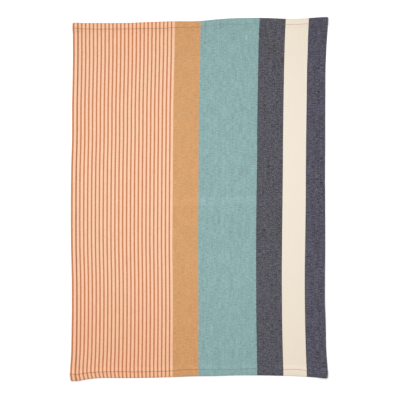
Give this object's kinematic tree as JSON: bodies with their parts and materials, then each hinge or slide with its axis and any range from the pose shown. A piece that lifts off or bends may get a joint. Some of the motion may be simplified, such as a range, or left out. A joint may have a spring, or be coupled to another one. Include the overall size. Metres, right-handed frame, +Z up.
{
  "type": "tea towel",
  "caption": "Rectangular cotton tea towel lying flat and open, with narrow sewn hems on all sides and woven stripe bands along its length.",
  "frame": {"origin": "on the surface that the towel lies on, under the middle of the towel's bounding box", "axes": "+Z up through the cloth towards its right side, +Y along the towel's length and its stripes towards the top end, +X across the stripes from the pinstriped band to the narrow dark band"},
  "size_m": [0.5066, 0.714, 0.0041],
  "materials": {
    "striped_cotton": "matte plain-woven cotton, in lengthwise bands of peach with narrow terracotta lines, ochre, grey-teal, slate navy and cream"
  },
  "bodies": {
    "root": {"towel_cloth": "striped_cotton"}
  },
  "joints": []
}
